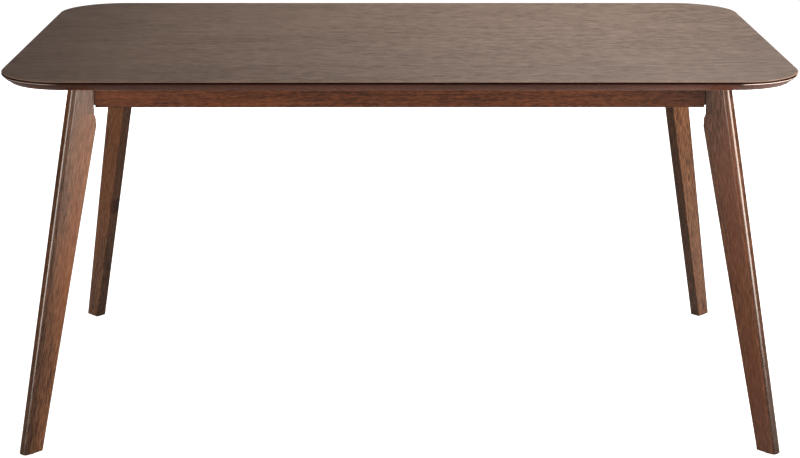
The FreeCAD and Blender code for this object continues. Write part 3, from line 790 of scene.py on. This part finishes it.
def nose_shade_and_highlight():
    """The nose itself is painted nearly black, as painted shade and dark reflection, and shines less
    than the lacquer round it. On part of the front right corner a pale painted highlight lies on it."""
    material, tree = start_finish("nose_shade_and_highlight")
    brushed = noise(tree, stretched(tree, from_attribute(tree), 40.0, 600.0, 4.0), 3.0)
    mixed = brushed.within(0.35, 0.7).blend(colour(22, 5, 2), colour(36, 12, 7))
    # a painted highlight on part of the front right corner's nose
    past_corner = parts(tree, from_attribute(tree))[0] - corner_grain["front_right"]
    painted_highlight = past_corner.within(0.035, 0.065)
    mixed = painted_highlight.blend(mixed, colour(176, 156, 146))
    normal = tree.node("Bump", {}, {"Strength": 0.05, "Distance": 0.0003, "Height": brushed})
    end_finish(tree, {"Base Color": mixed, "Roughness": 0.4 + brushed * 0.2, "Normal": normal,
                      "Specular IOR Level": 0.04})
    return material


# %% [markdown]
# ## The visible woods
# Every visible wood is one board finish with colours, amounts and sizes of its own. The veneer is
# greyer and duller than the rest, the lipping is redder and glossier, and the legs have the finest
# streaks. The nose is painted nearly black, as painted shade and dark reflection, and shines less,
# so the faces of the lipping whose middles lie within its height get a second material. A mask
# could change the colour in one material, but not the shine, which is one number for the whole
# shader here.


# %% Walnut for the top, the legs and the aprons
veneer = board_finish(
    "walnut_veneer", from_attribute,
    dark=colour(85, 66, 55), pale=colour(151, 128, 112), warm=colour(143, 118, 102),
    seed=1.0, amounts=(0.05, 0.03, 0.24, 0.54), pith=(0.3, -0.35), ring_gap=0.03,
    figure_size=(9.0, 125.0), fleck_size=(40.0, 185.0), warmth=0.15, roughness=0.58,
    relief=0.06, colour_factor=darker_ends)
# The lipping is darker towards the left end: painted shade, as the lamps light the right end more.
lipping = board_finish(
    "walnut_lipping", from_attribute,
    dark=colour(48, 21, 15), pale=colour(92, 55, 41), warm=colour(85, 43, 32),
    seed=2.0, amounts=(0.2, 0.3, 0.35, 0.25), roughness=0.24, relief=0.05,
    colour_factor=darkened_along(0.0, -0.6, 0.38), overlay=lip_shade_and_highlight)
leg_wood = board_finish(
    "walnut_legs", from_attribute,
    dark=colour(60, 30, 18), pale=colour(150, 106, 74), warm=colour(132, 80, 50),
    seed=3.0, amounts=(0.12, 0.14, 0.28, 0.8), pith=(-0.06, 0.08), ring_gap=0.008,
    figure_size=(9.0, 150.0), fleck_size=(50.0, 600.0), roughness=0.26, relief=0.08,
    colour_factor=leg_shading_reading, marks=leg_marks)
apron_look = {
    "dark": colour(44, 21, 13), "pale": colour(114, 66, 39), "warm": colour(103, 50, 28),
    "amounts": (0.12, 0.35, 0.34, 0.55), "figure_size": (18.0, 240.0),
    "fleck_size": (85.0, 560.0), "roughness": 0.34, "shine": 0.35}
# The long aprons are darker towards the right end: the painted shadow of the front right leg.
apron_long = board_finish(
    "walnut_apron_long", from_object(0), seed=4.0, pith=(-0.25, 0.6),
    colour_factor=darkened_along(0.3, 0.58, 0.4), **apron_look)
apron_short = board_finish(
    "walnut_apron_short", from_object(90), seed=5.0, pith=(-0.5, 0.6), **apron_look)
backing = board_finish(
    "backing_veneer_finish", from_object(0),
    dark=colour(72, 45, 34), pale=colour(116, 84, 66), warm=colour(112, 74, 54),
    seed=6.0, amounts=(0.3, 0.3, 0.3, 0.4), pith=(0.4, 0.3), ring_gap=0.02, roughness=0.55)
nose_black = nose_shade_and_highlight()

# %% Put them on
nose_from = 0.7346
nose_to = 0.7383
for edge in edges:
    edge.data.materials.append(lipping)
    edge.data.materials.append(nose_black)
    height = places_of(edge.data.polygons, "center")[:, 2]
    on_nose = (height > nose_from) & (height < nose_to)
    edge.data.polygons.foreach_set("material_index", on_nose.astype(np.int32))
for piece in legs:
    piece.data.materials.append(leg_wood)
top_face.data.materials.append(veneer)
print("walnut on", len(edges), "lengths of lipping,", len(legs), "legs and the face")


# %% [markdown]
# ## What is hidden, and the hardware
# The corner blocks show as a thin dark line of shade beside each leg, so they are painted very
# dark, as painted shade. The rail and its dowels are left raw, pale and dull. The board inside the
# top is pressed chips. The steel is zinc-plated or blackened, the inserts are a yellow alloy, and
# the glides are moulded nylon. These pieces keep the model's own meshes, and get their finishes in
# place of the plain ones.


# %% Raw woods and pressed board
raw_look = {"amounts": (0.4, 0.3, 0.3, 0.4), "relief": 0.3}
rail_wood = board_finish(
    "raw_rail", from_object(90),
    dark=colour(150, 116, 78), pale=colour(190, 156, 112), warm=colour(186, 146, 100),
    seed=7.0, roughness=0.7, **raw_look)
# painted shade: the corner blocks stand in for the shade in the gap beside each leg
block_painted_shade = board_finish(
    "blocks_painted_dark", from_object(45),
    dark=colour(16, 8, 6), pale=colour(46, 27, 19), warm=colour(42, 22, 14),
    seed=9.0, roughness=0.6, shine=0.15, **raw_look)
dowel_wood = board_finish(
    "beech_dowels", from_object(90),
    dark=colour(170, 132, 90), pale=colour(206, 172, 126), warm=colour(200, 160, 112),
    seed=8.0, ring_gap=0.003, roughness=0.65, **raw_look)


def pressed_board():
    """Chips are cells with a shade each, under a fine speckle."""
    material, tree = start_finish("pressed_board")
    place = own_place(tree)
    chips = tree.node("TexVoronoi", {}, {"Vector": place, "Scale": 320.0}, output="Color")
    shade = tree.node("SeparateColor", {}, {"Color": chips}, output="Red")
    speckle = noise(tree, place, 2.0, scale=900.0)
    mixed = (shade * 0.7 + speckle * 0.3).blend(colour(140, 112, 80), colour(196, 168, 128))
    normal = tree.node("Bump", {}, {"Strength": 0.3, "Distance": 0.0004, "Height": speckle})
    end_finish(tree, {"Base Color": mixed, "Roughness": 0.85 - shade * 0.1, "Normal": normal})
    return material


# %% Metals and nylon
def plated(name, base, cloud, roughness, grain_size):
    """Plated or blackened metal: slow clouds in the colour, a fine roughness, a faint tumbled bump."""
    material, tree = start_finish(name)
    place = own_place(tree)
    clouds = noise(tree, place, 3.0, scale=90.0)
    fine = noise(tree, place, 2.0, scale=grain_size)
    mixed = clouds.within(0.35, 0.7).blend(base, cloud)
    normal = tree.node("Bump", {}, {"Strength": 0.12, "Distance": 0.0002, "Height": fine})
    dullness = roughness + (fine - 0.5) * 0.25
    end_finish(tree, {"Base Color": mixed, "Metallic": 1.0, "Roughness": dullness, "Normal": normal})
    return material


def moulded_nylon():
    """Dark nylon with a fine skin, scuffed paler and duller in places."""
    material, tree = start_finish("moulded_nylon")
    place = own_place(tree)
    fine = noise(tree, place, 2.0, scale=1800.0)
    scuffs = noise(tree, place, 4.0, scale=260.0).within(0.55, 0.7)
    mixed = (scuffs * 0.5).blend(colour(52, 42, 36), colour(92, 80, 70))
    normal = tree.node("Bump", {}, {"Strength": 0.15, "Distance": 0.0002, "Height": fine})
    end_finish(tree, {"Base Color": mixed, "Roughness": 0.5 + scuffs * 0.2, "Normal": normal})
    return material


zinc = plated("zinc_plate", base=colour(168, 172, 176), cloud=colour(190, 188, 172),
              roughness=0.32, grain_size=2400.0)
black_oxide = plated("black_oxide", base=colour(34, 34, 37), cloud=colour(52, 50, 50),
                     roughness=0.42, grain_size=3000.0)
insert_alloy = plated("insert_alloy", base=colour(190, 160, 96), cloud=colour(206, 182, 124),
                      roughness=0.35, grain_size=2600.0)
nylon = moulded_nylon()
core = pressed_board()

# %% Finishes for the pieces that stay
finishes = {
    "core_board": core,
    "backing_veneer": backing,
    "apron_front": apron_long,
    "apron_back": apron_long,
    "apron_left": apron_short,
    "apron_right": apron_short,
    "centre_rail": rail_wood,
    "rail_dowels": dowel_wood,
    "glide_nails": zinc,
    "leg_inserts": insert_alloy,
    "leg_bolts": zinc,
    "leg_spring_washers": zinc,
    "leg_washers": zinc,
    "block_screws": black_oxide,
    "top_brackets": zinc,
    "bracket_apron_screws": black_oxide,
    "bracket_top_screws": black_oxide,
}
for name, across, back, turn in corner_places:
    finishes["corner_block_" + name] = block_painted_shade
    finishes["foot_glide_" + name] = nylon
for name, finish in finishes.items():
    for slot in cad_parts[name].material_slots:
        slot.material = finish
print(len(finishes), "pieces keep the model's mesh")


# %% [markdown]
# ## Floor and light
# The table stands on a white studio floor that runs out of sight, and can be seen through from
# below. Two warm softboxes stand close to the table, at the right and at the left, and give the
# bright lines on the rounded legs. A wide weak one in front lights the apron. One over the back
# right corner lights the top, and its light fades along it. A last one, low at the back, keeps the
# back legs from going black in views from behind. The sky is dim, because the edge of the top
# mirrors it, and that edge is nearly black.


# %% The floor
def studio_floor():
    """White to the camera, grey to the light that the table gets back from it, and see-through from
    below. In front of the table the grey is much darker, as if a dark cloth lay there."""
    half = 30
    mesh = bpy.data.meshes.new("studio_floor")
    corners = [(-half, -half, 0), (half, -half, 0), (half, half, 0), (-half, half, 0)]
    mesh.from_pydata(corners, [], [(0, 1, 2, 3)])
    floor = add_object("studio_floor", mesh)
    material, tree = start_finish("studio_white")
    seen = tree.node("LightPath", {}, {}, output="Is Camera Ray")
    depth = parts(tree, own_place(tree))[1]
    cloth = depth.within(-2.7, -1.7).blend((0.02, 0.02, 0.02, 1.0), (0.45, 0.45, 0.45, 1.0))
    dull = {"Base Color": cloth, "Roughness": 0.9, "Specular IOR Level": 0.0}
    white = {**dull, "Base Color": (0.8, 0.8, 0.8, 1.0), "Emission Color": (1.0, 1.0, 1.0, 1.0),
             "Emission Strength": 1.0}
    above = tree.node("MixShader", {}, {0: seen, 1: tree.node("BsdfPrincipled", {}, dull),
                                        2: tree.node("BsdfPrincipled", {}, white)})
    below = tree.node("NewGeometry", {}, {}, output="Backfacing")
    clear = tree.node("BsdfTransparent", {}, {})
    show(tree, tree.node("MixShader", {}, {0: below, 1: above, 2: clear}))
    mesh.materials.append(material)
    print("the floor reaches", half, "m each way")


studio_floor()


# %% The lights
def softbox(name, place, target, width, height, radiance, tint=(1.0, 1.0, 1.0)):
    """A rectangular light. Its power is radiance x pi x area."""
    light = bpy.data.lights.new(name, "AREA")
    light.shape = "RECTANGLE"
    light.size = width
    light.size_y = height
    light.energy = radiance * math.pi * width * height
    light.color = tint
    box = add_object(name, light)
    aim = Vector(target) - Vector(place)
    box.location = place
    box.rotation_euler = aim.to_track_quat("-Z", "Y").to_euler()
    box.visible_camera = False
    print(name, round(light.energy), "W")


softbox("key_right", place=(2.06, -1.31, 0.79), target=(-0.1, -0.2, 0.5), width=1.3, height=1.0,
        radiance=22.5, tint=(1.0, 0.88, 0.78))
softbox("fill_left", place=(-1.9, -1.5, 0.6), target=(0.1, -0.2, 0.5), width=0.6, height=0.9,
        radiance=17.0, tint=(1.0, 0.90, 0.82))
softbox("front_wide", place=(0.0, -3.4, 0.9), target=(0.0, -0.4, 0.5), width=5.0, height=1.2,
        radiance=1.2, tint=(1.0, 0.94, 0.88))
softbox("overhead", place=(0.80, 0.45, 2.25), target=(0.80, 0.45, top_height), width=1.4, height=1.0,
        radiance=8.2)
softbox("back_low", place=(0.0, 3.2, 0.42), target=(0.0, 0.4, 0.42), width=3.4, height=0.8,
        radiance=6.5)

# %% The sky
world = bpy.data.worlds.new("studio")
world.use_nodes = True
world.node_tree.nodes.clear()
sky = Reading(world.node_tree)
seen = sky.node("LightPath", {}, {}, output="Is Camera Ray")
dim = sky.node("Background", {}, {"Color": (1.0, 1.0, 1.0, 1.0), "Strength": 0.07})
white = sky.node("Background", {}, {"Color": (1.0, 1.0, 1.0, 1.0), "Strength": 1.0})
show(sky, sky.node("MixShader", {}, {0: seen, 1: dim, 2: white}), "World")
bpy.context.scene.world = world
bpy.context.scene.view_settings.view_transform = "Standard"

# %% [markdown]
# ## The camera
# The picture was taken from just above the table, with a long lens and almost square on. The
# numbers come from fitting the outline of the top and the feet.

# %% Set up the camera
yaw = math.radians(0.309)
pitch = math.radians(16.076)
roll = math.radians(0.05)
forward = Vector((math.sin(yaw) * math.cos(pitch), math.cos(yaw) * math.cos(pitch), -math.sin(pitch)))
level = Vector((math.cos(yaw), -math.sin(yaw), 0.0))
upright = level.cross(forward)
right = math.cos(roll) * level + math.sin(roll) * upright
up = math.cos(roll) * upright - math.sin(roll) * level
lens = bpy.data.cameras.new("camera")
lens.lens = 83.592
lens.clip_end = 200.0
camera = add_object("camera", lens)
turned = Matrix((right, up, -forward)).transposed().to_4x4()
camera.matrix_world = Matrix.Translation((-0.0187, -3.7738, 1.4189)) @ turned
bpy.context.scene.camera = camera
print("the camera looks", round(math.degrees(pitch), 1), "degrees down through", round(lens.lens), "mm")
